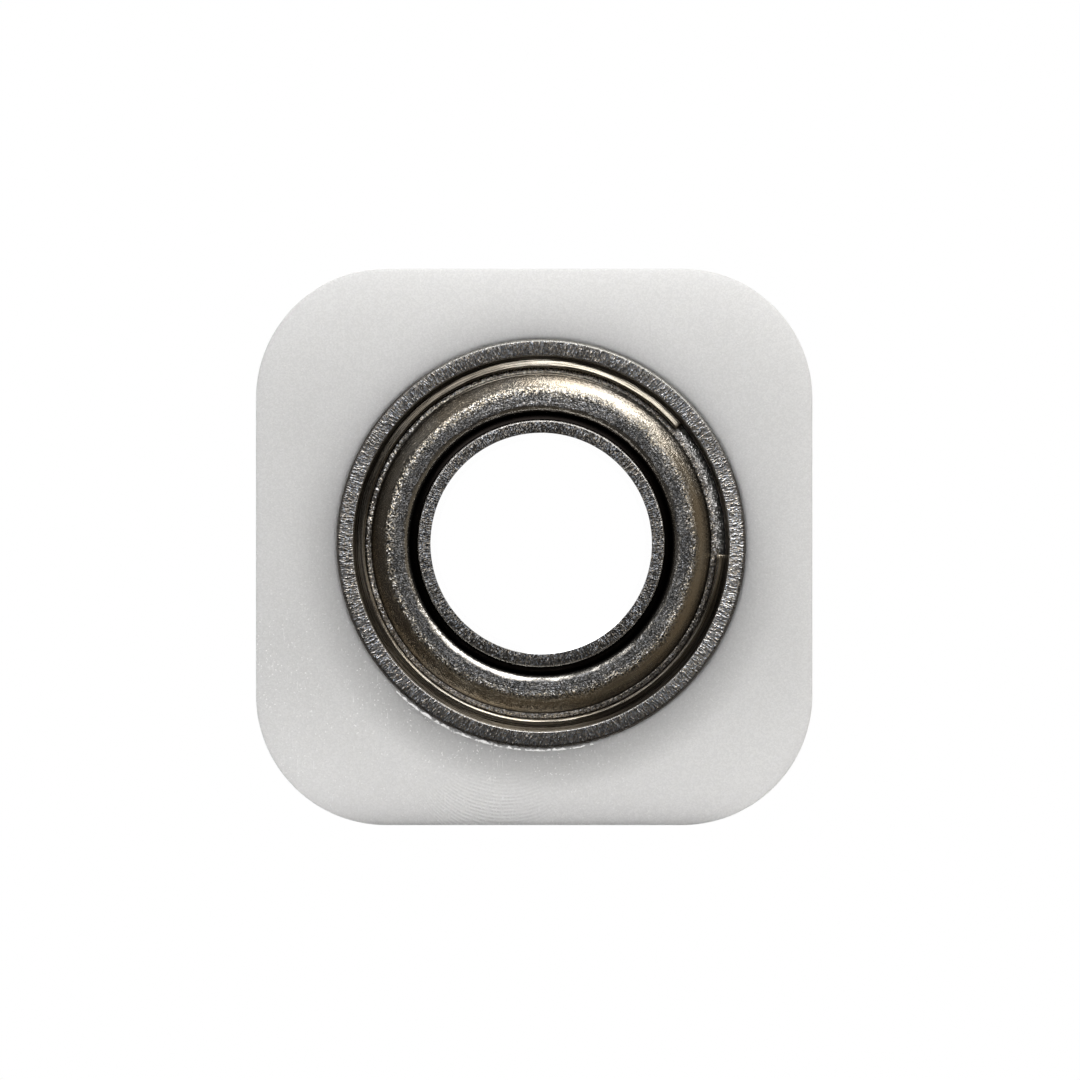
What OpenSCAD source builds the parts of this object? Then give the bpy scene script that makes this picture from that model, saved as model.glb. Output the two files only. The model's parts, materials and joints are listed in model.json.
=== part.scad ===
// Shielded ball bearing pressed into a square slide block, in millimetres.
// The bore axis lies along Y, and the front of the bearing looks towards -Y.
// The block stands on its lower side. The origin is on the bore axis, halfway through the bearing.
// Turned pieces are drawn as profiles of radius against height, and then laid onto the bore axis.

/* [Bearing envelope] */
// Bore of the inner ring
bore_d = 8; // [7.4:0.1:8.3]
// Outside diameter of the outer ring
outer_d = 16; // [15.7:0.1:17.2]
// Width of both rings along the axis
bearing_w = 5; // [4.8:0.1:6.4]
// Width of the lead at both ends of the bore, across the ring's face
bore_lead_w = 0.26; // [0.1:0.02:0.4]
// Depth of that lead along the bore
bore_lead_depth = 0.55; // [0.2:0.05:0.8]
// Radius on the outer corners of the outer ring
outer_corner_r = 0.3; // [0.16:0.01:0.34]
// Edge break round the ground faces, on the side of the shields
face_break = 0.04; // [0.02:0.01:0.08]

/* [Balls and races] */
// Diameter of one ball
ball_d = 2; // [1.8:0.05:2.1]
// Number of balls
ball_count = 10; // [8:1:10]
// Radius of the race grooves as a share of the ball diameter
race_conformity = 0.52; // [0.51:0.005:0.54]
// Gap between a ball and each race
race_gap = 0.03; // [0.02:0.005:0.05]
// Rise of the race shoulders above the bottom of the groove
shoulder_rise = 0.33; // [0.25:0.01:0.4]

/* [Ring ends] */
// Step from the shoulder of the inner race down to the ring's end
inner_step = 0.55; // [0.45:0.01:0.6]
// Step from the shoulder of the outer race up to the ring's mouth
outer_step = 0.55; // [0.45:0.01:0.6]
// Depth of the shield's seat below the ring face
seat_depth = 0.78; // [0.74:0.02:0.86]
// Width of the taper from the outer ring's mouth down to its throat
mouth_taper_w = 0.17; // [0.1:0.01:0.2]
// Depth that the groove for the snap wire is cut behind the throat
wire_groove_depth = 0.11; // [0.08:0.01:0.2]

/* [Shields] */
// Thickness of the sheet
sheet_t = 0.2; // [0.14:0.02:0.22]
// Gap between the inner ring's end and the shield's lip
lip_gap = 0.37; // [0.2:0.01:0.5]
// Length of the straight stretch of the lip
lip_length = 0.17; // [0.1:0.01:0.22]
// Radius inside the lip's bend
lip_bend_r = 0.05; // [0.04:0.01:0.1]
// Depth of the crown below the ring face
crown_recess = 0.22; // [0.16:0.01:0.26]
// Radius inside the bend between crown and slope
crown_bend_r = 0.1; // [0.05:0.01:0.2]
// Fall of the slope, in degrees from the flat of the crown
slope_angle = 34; // [30:1:46]
// Radius inside the crease between slope and flange
crease_r = 0.1; // [0.05:0.01:0.15]
// Width of the flat flange that lies in the outer ring
flange_w = 0.534; // [0.45:0.01:0.6]
// Gap between the flange and the throat of the outer ring
flange_gap = 0.02; // [0.01:0.01:0.06]

/* [Snap wires] */
// Diameter of the wire
wire_d = 0.34; // [0.3:0.02:0.4]
// Reach of the wire behind the throat
wire_reach = 0.04; // [0.03:0.01:0.06]
// Gap between the wire and the lip above it
wire_gap = 0.012; // [0.01:0.002:0.03]
// Opening between the wire's ends, in degrees
wire_opening = 44; // [20:1:70]
// Middle of the front wire's opening, in degrees up from +X
front_opening_at = 18.5; // [-180:0.5:180]
// Middle of the rear wire's opening, in degrees up from +X
rear_opening_at = 205; // [-180:1:360]

/* [Cage] */
// Thickness of the ribbon
ribbon_t = 0.18; // [0.12:0.02:0.2]
// Gap between a ball and its pocket
pocket_gap = 0.06; // [0.04:0.01:0.08]
// Gap between the cage and the shoulders of the races
cage_gap = 0.15; // [0.1:0.01:0.25]
// Diameter of a rivet's shank
rivet_d = 0.4; // [0.3:0.02:0.44]
// Diameter of a rivet's head
rivet_head_d = 0.72; // [0.6:0.02:0.76]
// Height of a rivet's head
rivet_head_h = 0.13; // [0.08:0.01:0.18]
// Gap round a rivet's shank
rivet_gap = 0.01; // [0.005:0.005:0.02]

/* [Slide block] */
// Width and height of the square block
block_w = 21.4; // [19:0.1:26]
// Depth of the block along the bore axis
block_depth = 7; // [6.2:0.1:12]
// Radius of the block's corners
corner_r = 5; // [1:0.1:7]
// Place of the seat to the right of the block's middle
seat_right = 0.27; // [-0.6:0.01:0.6]
// Place of the seat above the block's middle
seat_up = 0.13; // [-0.6:0.01:0.6]
// Height that the block's face stands proud of the rings
face_proud = 0.05; // [0:0.01:0.2]
// Interference of the seat on the outer ring
seat_press = 0.02; // [0:0.005:0.04]
// Overhang of the lip that is swaged over the ring's corner
lip_overhang = 0.1; // [0.05:0.01:0.15]
// Gap between that lip and the ring's corner
lip_clearance = 0.02; // [0.01:0.01:0.05]
// Diameter of the hole through the web behind the bearing
web_hole_d = 14.4; // [11:0.1:15]
// Chamfer at the rear end of that hole
web_chamfer = 0.3; // [0.1:0.05:0.6]

/* [Hidden] */
$fn = 96;
cut = 1; // how far a cutter runs past what it cuts
arc_steps = 8; // straight steps in one bend of the sheet or one round corner

face_h = bearing_w / 2;
bore_r = bore_d / 2;
outer_r = outer_d / 2;
ball_r = ball_d / 2;
pitch_r = (bore_r + outer_r) / 2;

inner_race_r = pitch_r - ball_r - race_gap;
outer_race_r = pitch_r + ball_r + race_gap;
inner_shoulder_r = inner_race_r + shoulder_rise;
outer_shoulder_r = outer_race_r - shoulder_rise;
groove_r = race_conformity * ball_d;

seat_h = face_h - seat_depth;
inner_land_r = inner_shoulder_r - inner_step;
mouth_r = outer_shoulder_r + outer_step;
throat_r = mouth_r - mouth_taper_w;
wire_groove_r = throat_r + wire_groove_depth;
corner_mid_r = outer_r - outer_corner_r;
corner_mid_h = face_h - outer_corner_r;

crown_h = face_h - crown_recess;
lip_r = inner_land_r + lip_gap;
lip_top_h = crown_h - sheet_t - lip_bend_r;
flange_r = throat_r - flange_gap;
crease_mid_r = flange_r - flange_w;
sheet_fall = crown_h - sheet_t - seat_h;
crown_arm = crown_bend_r + sheet_t / 2;
crease_arm = crease_r + sheet_t / 2;
slope_length = (sheet_fall - (crown_arm + crease_arm) * (1 - cos(slope_angle))) / sin(slope_angle);
crown_edge_r = crease_mid_r - (crown_arm + crease_arm) * sin(slope_angle) - slope_length * cos(slope_angle);

wire_ring_r = throat_r + wire_reach - wire_d / 2;
wire_h = seat_h + sheet_t + wire_d / 2;
wire_lip_h = wire_h + sqrt(pow(wire_d / 2 + wire_gap, 2) - pow(throat_r - wire_ring_r, 2));

cage_in_r = inner_shoulder_r + cage_gap;
cage_out_r = outer_shoulder_r - cage_gap;
pocket_r = ball_r + pocket_gap;
cup_r = pocket_r + ribbon_t;
pitch_angle = 360 / ball_count;

block_front_h = face_h + face_proud;
block_rear_h = block_front_h - block_depth;
seat_r = outer_r - seat_press;
lip_mouth_r = outer_r - lip_overhang;

ball_numbers = [for (k = [1:ball_count]) k];
ball_names = [for (k = ball_numbers) str("ball_", k < 10 ? "0" : "", k)];

// Lays a turned piece onto the bore axis: its height runs towards the front.
module on_bore_axis() {
    rotate([90, 0, 0]) children();
}

// The same thing at the rear end as at the front.
module both_ends() {
    children();
    mirror([0, 0, 1]) children();
}

module at_each_ball(turned = 0) {
    for (k = ball_numbers) {
        rotate([0, 0, (k - 1) * pitch_angle + turned]) translate([pitch_r, 0, 0]) children();
    }
}

// A tube between two radii and two heights.
module tube(r_in, r_out, low, high) {
    rotate_extrude() translate([r_in, low]) square([r_out - r_in, high - low]);
}

// Points along an arc round a centre.
function arc(centre, r, from_angle, to_angle) = [
    for (i = [0:arc_steps])
        let (a = from_angle + (to_angle - from_angle) * i / arc_steps)
            centre + r * [cos(a), sin(a)]
];

// The shield's section, from its curled lip over the crown and down the slope to its flange:
// along the side that shows, and then back underneath.
module shield_profile() {
    lip_centre = [lip_r + sheet_t + lip_bend_r, lip_top_h];
    crown_centre = [crown_edge_r, crown_h - sheet_t - crown_bend_r];
    crease_centre = [crease_mid_r, seat_h + sheet_t + crease_r];
    polygon(concat(
        [[lip_r, lip_top_h - lip_length]],
        arc(lip_centre, lip_bend_r + sheet_t, 180, 90),
        arc(crown_centre, crown_bend_r + sheet_t, 90, 90 - slope_angle),
        arc(crease_centre, crease_r, 270 - slope_angle, 270),
        [[flange_r, seat_h + sheet_t], [flange_r, seat_h]],
        arc(crease_centre, crease_r + sheet_t, 270, 270 - slope_angle),
        arc(crown_centre, crown_bend_r, 90 - slope_angle, 90),
        arc(lip_centre, lip_bend_r, 90, 180),
        [[lip_r + sheet_t, lip_top_h - lip_length]]
    ));
}

module shield() {
    rotate_extrude() shield_profile();
}

// A C of round wire, with its opening round a chosen angle.
module snap_wire(opening_at) {
    rotate([0, 0, opening_at + wire_opening / 2]) rotate_extrude(angle = 360 - wire_opening)
        translate([wire_ring_r, wire_h]) circle(d = wire_d);
}

// One half of the ribbon cage: flats between the pockets, and a round cup over each ball.
module cage_half() {
    difference() {
        intersection() {
            union() {
                tube(cage_in_r - cut, cage_out_r + cut, 0, ribbon_t);
                at_each_ball() sphere(r = cup_r);
            }
            tube(cage_in_r, cage_out_r, 0, cup_r + cut);
        }
        at_each_ball() sphere(r = pocket_r);
        at_each_ball(pitch_angle / 2) cylinder(r = rivet_d / 2 + rivet_gap, h = 4 * ribbon_t, center = true);
    }
}

// A rivet through both flats, with a low round head on each side.
module rivet() {
    dome_r = (pow(rivet_head_d / 2, 2) + pow(rivet_head_h, 2)) / (2 * rivet_head_h);
    cylinder(d = rivet_d, h = 2 * ribbon_t, center = true);
    both_ends() translate([0, 0, ribbon_t]) intersection() {
        translate([0, 0, rivet_head_h - dome_r]) sphere(r = dome_r);
        cylinder(d = rivet_head_d, h = rivet_head_h + cut);
    }
}

module rounded_square(w, r) {
    square([w, w - 2 * r], center = true);
    square([w - 2 * r, w], center = true);
    for (x = [-1, 1], y = [-1, 1]) {
        translate([x, y] * (w / 2 - r)) circle(r = r);
    }
}

// The hole right through the block, as a profile: web hole, seat, and the lip round the ring's corner.
module block_hole_profile() {
    web_hole_r = web_hole_d / 2;
    lip_r_inside = outer_corner_r + lip_clearance;
    lip_starts_at = acos((seat_r - corner_mid_r) / lip_r_inside);
    lip_ends_at = acos((lip_mouth_r - corner_mid_r) / lip_r_inside);
    polygon(concat(
        [
            [0, block_rear_h - cut],
            [web_hole_r + web_chamfer + cut, block_rear_h - cut],
            [web_hole_r, block_rear_h + web_chamfer],
            [web_hole_r, -face_h],
            [seat_r, -face_h]
        ],
        arc([corner_mid_r, corner_mid_h], lip_r_inside, lip_starts_at, lip_ends_at),
        [
            [lip_mouth_r, block_front_h + cut],
            [0, block_front_h + cut]
        ]
    ));
}

module slide_block() {
    color("whitesmoke") on_bore_axis() difference() {
        translate([-seat_right, -seat_up, block_rear_h])
            linear_extrude(block_depth) rounded_square(block_w, corner_r);
        rotate_extrude() block_hole_profile();
    }
}

module outer_ring() {
    color("gray") on_bore_axis() rotate_extrude() difference() {
        polygon([
            [outer_shoulder_r, -seat_h],
            [wire_groove_r, -seat_h],
            [wire_groove_r, wire_groove_depth / 2 - wire_lip_h],
            [throat_r, -wire_lip_h],
            [mouth_r, face_break - face_h],
            [mouth_r + face_break, -face_h],
            each arc([corner_mid_r, -corner_mid_h], outer_corner_r, -90, 0),
            each arc([corner_mid_r, corner_mid_h], outer_corner_r, 0, 90),
            [mouth_r + face_break, face_h],
            [mouth_r, face_h - face_break],
            [throat_r, wire_lip_h],
            [wire_groove_r, wire_lip_h - wire_groove_depth / 2],
            [wire_groove_r, seat_h],
            [outer_shoulder_r, seat_h]
        ]);
        translate([outer_race_r - groove_r, 0]) circle(r = groove_r);
    }
}

module inner_ring() {
    notch_h = seat_h - face_break;
    notch_slope = 0.12;
    color("dimgray") on_bore_axis() rotate_extrude() difference() {
        polygon([
            [bore_r, bore_lead_depth - face_h],
            [bore_r + bore_lead_w, -face_h],
            [inner_land_r - face_break, -face_h],
            [inner_land_r, face_break - face_h],
            [inner_land_r, -notch_h - notch_slope],
            [inner_shoulder_r, -notch_h],
            [inner_shoulder_r, notch_h],
            [inner_land_r, notch_h + notch_slope],
            [inner_land_r, face_h - face_break],
            [inner_land_r - face_break, face_h],
            [bore_r + bore_lead_w, face_h],
            [bore_r, face_h - bore_lead_depth]
        ]);
        translate([inner_race_r + groove_r, 0]) circle(r = groove_r);
    }
}

module cage_front() {
    color("darkgoldenrod") on_bore_axis() cage_half();
}

module cage_rear() {
    color("darkgoldenrod") on_bore_axis() mirror([0, 0, 1]) cage_half();
}

module cage_rivets() {
    color("tan") on_bore_axis() at_each_ball(pitch_angle / 2) rivet();
}

module front_shield() {
    color("slategray") on_bore_axis() shield();
}

module rear_shield() {
    color("slategray") on_bore_axis() mirror([0, 0, 1]) shield();
}

module front_snap_wire() {
    color("silver") on_bore_axis() snap_wire(front_opening_at);
}

module rear_snap_wire() {
    color("silver") on_bore_axis() mirror([0, 0, 1]) snap_wire(rear_opening_at);
}

module ball(k) {
    color("lightsteelblue") on_bore_axis() rotate([0, 0, (k - 1) * pitch_angle])
        translate([pitch_r, 0, 0]) sphere(d = ball_d);
}

slide_block();
outer_ring();
inner_ring();
cage_front();
cage_rear();
cage_rivets();
front_shield();
rear_shield();
front_snap_wire();
rear_snap_wire();
for (k = ball_numbers) ball(k);
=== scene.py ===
# Looks of a shielded ball bearing that is pressed into a square slide block.
# Blender works in metres here. Sections and finishes are worked out in millimetres, as on the drawing:
# a section is a list of (radius from the bore axis, height towards the front).
import json
import math

import bmesh
import bpy
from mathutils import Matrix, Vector, noise


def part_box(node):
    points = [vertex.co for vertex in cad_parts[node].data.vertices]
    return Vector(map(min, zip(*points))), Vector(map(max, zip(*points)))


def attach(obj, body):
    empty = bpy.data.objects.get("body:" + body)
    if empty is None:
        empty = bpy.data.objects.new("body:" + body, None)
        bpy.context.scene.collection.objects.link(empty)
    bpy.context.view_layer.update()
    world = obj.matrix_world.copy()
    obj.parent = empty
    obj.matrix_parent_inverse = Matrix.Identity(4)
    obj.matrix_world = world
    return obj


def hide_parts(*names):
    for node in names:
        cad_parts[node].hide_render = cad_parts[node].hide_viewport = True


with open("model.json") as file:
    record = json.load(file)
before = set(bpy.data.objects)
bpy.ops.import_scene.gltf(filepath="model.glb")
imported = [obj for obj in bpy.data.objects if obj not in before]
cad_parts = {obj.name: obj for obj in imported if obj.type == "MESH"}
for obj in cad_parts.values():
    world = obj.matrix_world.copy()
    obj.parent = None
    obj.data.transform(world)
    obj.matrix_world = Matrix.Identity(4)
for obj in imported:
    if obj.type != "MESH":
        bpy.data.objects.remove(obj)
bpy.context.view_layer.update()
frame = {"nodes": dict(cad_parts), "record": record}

MM = 0.001
FULL_TURN = 2 * math.pi


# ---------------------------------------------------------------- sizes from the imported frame

def radii(node):
    """Smallest and largest distance of a node's points from the bore axis, in millimetres."""
    away = [math.hypot(v.co.x, v.co.z) / MM for v in frame["nodes"][node].data.vertices]
    return min(away), max(away)


def heights(node):
    """Lowest and highest height of a node along the bore axis, in millimetres towards the front."""
    low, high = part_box(node)
    return -high.y / MM, -low.y / MM


bore_r, inner_shoulder_r = radii("inner_ring")
outer_shoulder_r, outer_r = radii("outer_ring")
lip_r, flange_r = radii("front_shield")
wire_in_r, wire_out_r = radii("front_snap_wire")
face_h = heights("outer_ring")[1]
seat_h, crown_h = heights("front_shield")
wire_low_h, wire_high_h = heights("front_snap_wire")
block_rear_h, block_front_h = heights("slide_block")
block_low, block_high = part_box("slide_block")
ball_r = (heights("ball_01")[1] - heights("ball_01")[0]) / 2
pitch_r = (bore_r + outer_r) / 2

# Rings
race_gap = 0.03
groove_r = 1.04 * ball_r
inner_race_r = pitch_r - ball_r - race_gap
outer_race_r = pitch_r + ball_r + race_gap
running_gap = 0.37
inner_land_r = lip_r - running_gap
shield_play = 0.02
throat_r = flange_r + shield_play
mouth_taper_w = 0.17
mouth_r = throat_r + mouth_taper_w
notch_depth = 0.04
notch_rise = 0.12
lead_w = 0.26
lead_depth = 0.55
outer_corner = 0.26
wire_groove_depth = 0.11
tool_round = 0.04
edge_round = 0.06

# Shields
sheet_t = 0.2
lip_length = 0.17
lip_drop = 0.15
lip_inset = 0.055
lip_roll_w = 0.1
lip_roll_depth = 0.08
slope_angle = math.radians(30.5)
slope_bend = 0.2
crown_bend = 0.35
flange_w = 0.51
flange_corner_r = flange_r - flange_w - slope_bend * math.tan(slope_angle / 2)
crown_corner_r = flange_corner_r - (crown_h - seat_h - sheet_t) / math.tan(slope_angle)

# Snap wires
wire_r = (wire_high_h - wire_low_h) / 2
wire_ring_r = (wire_in_r + wire_out_r) / 2
wire_h = (wire_low_h + wire_high_h) / 2
wire_gap = 0.012
wire_lean = math.radians(22)
wire_bend = 0.085
wire_outer_bend = 0.08
wire_under_bend = 0.12
wire_end_round = 0.04
wire_opening = 44
front_opening_at = 18.5
rear_opening_at = 205

# Slide block
block_w = (block_high.x - block_low.x) / MM
block_corner_r = 5
block_edge_round = 0.05
seat_r = outer_r - 0.02
lip_mouth_r = outer_r - 0.13
lip_gap = 0.02
lip_round_w = 0.16
lip_round_depth = 0.06
lip_looseness = 0.03
ragged_at = 255
web_hole_r = 7.2
web_chamfer = 0.3


# ---------------------------------------------------------------- sections
# Rows of corners below give the radius, the height and how much the corner is rounded.

def rounded(corners, steps=6):
    """A section whose corners are rounded: each corner is (radius, height, round)."""
    points = []
    for k, (r, h, bend) in enumerate(corners):
        corner = Vector((r, h))
        if not bend:
            points.append(corner)
            continue
        before = (Vector(corners[k - 1][:2]) - corner).normalized()
        after = (Vector(corners[(k + 1) % len(corners)][:2]) - corner).normalized()
        half = before.angle(after) / 2
        centre = corner + (before + after).normalized() * bend / math.sin(half)
        start = corner + before * bend / math.tan(half) - centre
        end = corner + after * bend / math.tan(half) - centre
        turn = math.atan2(start.x * end.y - start.y * end.x, start.dot(end))
        first = math.atan2(start.y, start.x)
        for step in range(steps + 1):
            angle = first + turn * step / steps
            points.append(centre + Vector((math.cos(angle), math.sin(angle))) * bend)
    return points


def mirrored(half):
    """A section made of its front half and the same points at the rear."""
    return half + [Vector((p.x, -p.y)) for p in reversed(half)]


def race(middle_r, shoulder_r, steps=12):
    """The front half of a race groove, from its bottom to its shoulder."""
    reach = math.acos(abs(shoulder_r - middle_r) / groove_r)
    side = 1 if shoulder_r > middle_r else -1
    angles = [reach * step / steps for step in range(steps + 1)]
    return [Vector((middle_r + side * groove_r * math.cos(a), groove_r * math.sin(a))) for a in angles]


def outer_ring_section():
    wire_lip_h = wire_h + math.sqrt((wire_r + wire_gap) ** 2 - (throat_r - wire_ring_r) ** 2)
    groove_bottom_r = throat_r + wire_groove_depth
    return mirrored(race(outer_race_r - groove_r, outer_shoulder_r) + rounded([
        (outer_shoulder_r, seat_h, tool_round),
        (groove_bottom_r, seat_h, tool_round),
        (groove_bottom_r, wire_lip_h - wire_groove_depth / 2, 0.03),
        (throat_r, wire_lip_h, 0.01),
        (mouth_r, face_h, edge_round),
        (outer_r, face_h, outer_corner),
        (outer_r, 0, 0),
    ], steps=12)[:-1])


def inner_ring_section():
    notch_h = seat_h - notch_depth
    return mirrored(race(inner_race_r + groove_r, inner_shoulder_r) + rounded([
        (inner_shoulder_r, notch_h, tool_round),
        (inner_land_r, notch_h + notch_rise, edge_round),
        (inner_land_r, face_h, edge_round),
        (bore_r + lead_w, face_h, 0.015),
        (bore_r, face_h - lead_depth, 0.1),
        (bore_r, 0, 0),
    ])[:-1])


def shield_section():
    """The sheet's middle line, from the curled lip over the crown and down to the flange, made thick."""
    half_t = sheet_t / 2
    top_h = crown_h - half_t
    lip_middle_r = lip_r - lip_inset + half_t
    path = rounded([
        (lip_middle_r, top_h - lip_drop - lip_length, 0),
        (lip_middle_r, top_h - lip_roll_depth, 0.03),
        (lip_middle_r + lip_roll_w, top_h, 0.25),
        (crown_corner_r, top_h, crown_bend),
        (flange_corner_r, seat_h + half_t, slope_bend),
        (flange_r, seat_h + half_t, 0),
    ], steps=12)
    upper, lower = [], []
    for k, point in enumerate(path):
        along = (path[min(k + 1, len(path) - 1)] - path[max(k - 1, 0)]).normalized()
        across = Vector((-along.y, along.x)) * half_t
        upper.append(point + across)
        lower.append(point - across)
    return upper + lower[::-1]


def wire_section():
    """Drawn wire, round on its inner side, whose top is flattened and leans outwards."""
    corner_above_bend = (1 + math.sin(wire_lean)) / math.cos(wire_lean) - 1
    peak_h = wire_high_h + wire_bend * corner_above_bend
    edge_h = peak_h - (wire_out_r - wire_in_r) * math.tan(wire_lean)
    return rounded([
        (wire_in_r, wire_low_h, wire_under_bend),
        (wire_in_r, peak_h, wire_bend),
        (wire_out_r, edge_h, wire_outer_bend),
        (wire_out_r, wire_low_h, wire_under_bend),
    ], steps=10)


# ---------------------------------------------------------------- meshes

def at(r, h, angle):
    """A point of the object, in metres. The angle runs up from +X as seen from the front."""
    return Vector((r * math.cos(angle), -h, r * math.sin(angle))) * MM


def skin(mesh, loops, closed):
    """Faces between loops that have as many points each."""
    following = loops[1:] + loops[:1] if closed else loops[1:]
    for loop, beyond in zip(loops, following):
        for a in range(len(loop)):
            b = (a + 1) % len(loop)
            mesh.faces.new((loop[a], loop[b], beyond[b], beyond[a]))


def turned(section, facing=1, steps=360):
    """A section turned all the way round the bore axis. Facing is -1 at the rear end."""
    mesh = bmesh.new()
    loops = []
    for step in range(steps):
        angle = FULL_TURN * step / steps
        loops.append([mesh.verts.new(at(p.x, facing * p.y, angle)) for p in section])
    skin(mesh, loops, closed=True)
    return mesh


def bent_wire(opening_at, facing, steps=320):
    """A C of round wire whose ends are cut square and slightly rounded over."""
    mesh = bmesh.new()
    section = wire_section()
    middle = Vector((wire_ring_r, wire_h))
    first = math.radians(opening_at + wire_opening / 2)
    sweep = math.radians(360 - wire_opening)
    part_way = wire_end_round * 0.3
    stations = [(0, 1 - wire_end_round / wire_r), (part_way / wire_ring_r, 1 - part_way / wire_r)]
    inside = wire_end_round / wire_ring_r
    along = [inside + (sweep - 2 * inside) * step / steps for step in range(steps + 1)]
    stations += [(angle, 1) for angle in along]
    stations += [(sweep - angle, share) for angle, share in reversed(stations[:2])]
    loops = []
    for angle, share in stations:
        ring = [middle + (p - middle) * share for p in section]
        loops.append([mesh.verts.new(at(p.x, facing * p.y, first + angle)) for p in ring])
    skin(mesh, loops, closed=False)
    mesh.faces.new(loops[0])
    mesh.faces.new(loops[-1])
    return mesh


def block_outline(inset, steps=720):
    """Points round the block, evenly spaced, as (x, z) in millimetres from the bore axis."""
    centre = (block_low + block_high) / 2 / MM
    half = block_w / 2 - inset
    r = block_corner_r - inset
    straight = 2 * (half - r)
    quarter = straight + r * math.pi / 2
    points = []
    for step in range(steps):
        side, way = divmod(step * 4 * quarter / steps, quarter)
        turn = Vector((math.cos(side * math.pi / 2), math.sin(side * math.pi / 2)))
        square_on = Vector((-turn.y, turn.x))
        if way < straight:
            point = turn * half + square_on * (way - straight / 2)
        else:
            a = (way - straight) / r
            point = turn * (half - r + r * math.cos(a)) + square_on * (half - r + r * math.sin(a))
        points.append(Vector((centre.x, centre.z)) + point)
    return points


def lip_wander(angle, strength):
    """How far the swaged lip strays from its circle at an angle, most along its ragged stretch."""
    place = Vector((math.cos(angle), math.sin(angle), 0))
    ragged = max(0, math.cos(angle - math.radians(ragged_at))) ** 6
    fine_scale, slow_scale = 42, 3
    fine = noise.noise(place * fine_scale) * (0.25 + 3 * ragged)
    slow = noise.noise(place * slow_scale + Vector((7, 3, 1)))
    return strength * (fine + 0.4 * slow)


def slide_block_mesh():
    """The block: up its hole from the rear to the swaged lip, across its face, and back down its outside."""
    mesh = bmesh.new()
    edge = block_edge_round
    beside = 0.1
    outline = block_outline(0)
    angles = [math.atan2(p.y, p.x) for p in outline]
    # The hole's rows give the radius, the height and how much of the lip's wander they take
    hole = [
        (web_hole_r + web_chamfer, block_rear_h, 0),
        (web_hole_r, block_rear_h + web_chamfer, 0),
        (web_hole_r, -face_h - beside, 0),
        (web_hole_r, -face_h, 0),
        (seat_r - beside, -face_h, 0),
        (seat_r, -face_h, 0),
        (seat_r, -face_h + beside, 0),
    ]
    corner_r, corner_h = outer_r - outer_corner, face_h - outer_corner
    bend = outer_corner + lip_gap
    starts_at = math.acos((seat_r - corner_r) / bend)
    ends_at = math.acos((lip_mouth_r - corner_r) / bend)
    for step in range(5):
        a = starts_at + (ends_at - starts_at) * step / 4
        hole.append((corner_r + bend * math.cos(a), corner_h + bend * math.sin(a), 0))
    for turn in range(0, 91, 15):
        a = math.radians(turn)
        r = lip_mouth_r + lip_round_w * (1 - math.cos(a))
        h = block_front_h - lip_round_depth * (1 - math.sin(a))
        hole.append((r, h, 1 - 0.6 * turn / 90))
    hole += [(lip_mouth_r + 0.23, block_front_h, 0.3), (lip_mouth_r + 0.31, block_front_h, 0)]
    loops = []
    for r, h, loose in hole:
        wander = [lip_wander(a, lip_looseness * loose) for a in angles]
        loops.append([mesh.verts.new(at(r + w, h - abs(w) * 0.5, a)) for w, a in zip(wander, angles)])
    rim = []
    for turn in (0, 30, 60, 90):
        sink = edge * (1 - math.cos(math.radians(turn)))
        inset = edge * (1 - math.sin(math.radians(turn)))
        rim.append((inset, sink))
    edges = [(edge + beside, block_front_h)]
    edges += [(inset, block_front_h - sink) for inset, sink in rim]
    edges += [(0, block_front_h - edge - beside), (0, block_rear_h + edge + beside)]
    edges += [(inset, block_rear_h + sink) for inset, sink in reversed(rim)]
    edges += [(edge + beside, block_rear_h)]
    for inset, h in edges:
        loops.append([mesh.verts.new(Vector((p.x, -h, p.y)) * MM) for p in block_outline(inset)])
    skin(mesh, loops, closed=True)
    return mesh


def burr_mesh(steps=420):
    """Shreds of plastic that the swaging has raised along the lip's ragged stretch."""
    mesh = bmesh.new()
    first, last = math.radians(ragged_at - 36), math.radians(ragged_at + 36)
    outside_r = lip_mouth_r + 0.12
    highest = block_front_h - 0.0015
    thinnest, shred_w, droop = 0.012, 0.1, 0.006
    loops = []
    for step in range(steps + 1):
        angle = first + (last - first) * step / steps
        place = Vector((math.cos(angle), math.sin(angle), 0))
        shred = max(0, 0.5 + 1.3 * noise.noise(place * 38) + 0.5 * noise.noise(place * 110))
        share = min(1, 6 * step / steps, 6 - 6 * step / steps) * min(1, shred)
        outer = outside_r + 0.015 * noise.noise(place * 60)
        inner = outer - thinnest - shred_w * share
        top = highest - droop * (1 - share)
        section = (
            (inner, top - 0.03), (inner + 0.006, top - 0.004),
            (outer, top), (outer + 0.03, top - 0.04),
        )
        loops.append([mesh.verts.new(at(r, h, angle)) for r, h in section])
    skin(mesh, loops, closed=False)
    mesh.faces.new(loops[0])
    mesh.faces.new(loops[-1])
    return mesh


# ---------------------------------------------------------------- node helpers

def add(tree, kind, inputs=None, **settings):
    """A shader node with its settings, and with its inputs joined or set."""
    node = tree.nodes.new("ShaderNode" + kind)
    for name, value in settings.items():
        setattr(node, name, value)
    for name, value in (inputs or {}).items():
        join(tree, value, node.inputs[name])
    return node


def join(tree, value, socket):
    """Links another node's output to a socket, or sets the socket to a plain value."""
    if isinstance(value, bpy.types.NodeSocket):
        tree.links.new(value, socket)
    else:
        socket.default_value = value


def maths(tree, operation, *values, clamp=False):
    inputs = dict(enumerate(values))
    return add(tree, "Math", inputs, operation=operation, use_clamp=clamp).outputs[0]


def chained(tree, operation, values):
    """One operation on all the values, from the first to the last."""
    result, *others = values
    for other in others:
        result = maths(tree, operation, result, other)
    return result


def product(tree, *values):
    return chained(tree, "MULTIPLY", values)


def total(tree, *values):
    return chained(tree, "ADD", values)


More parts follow.
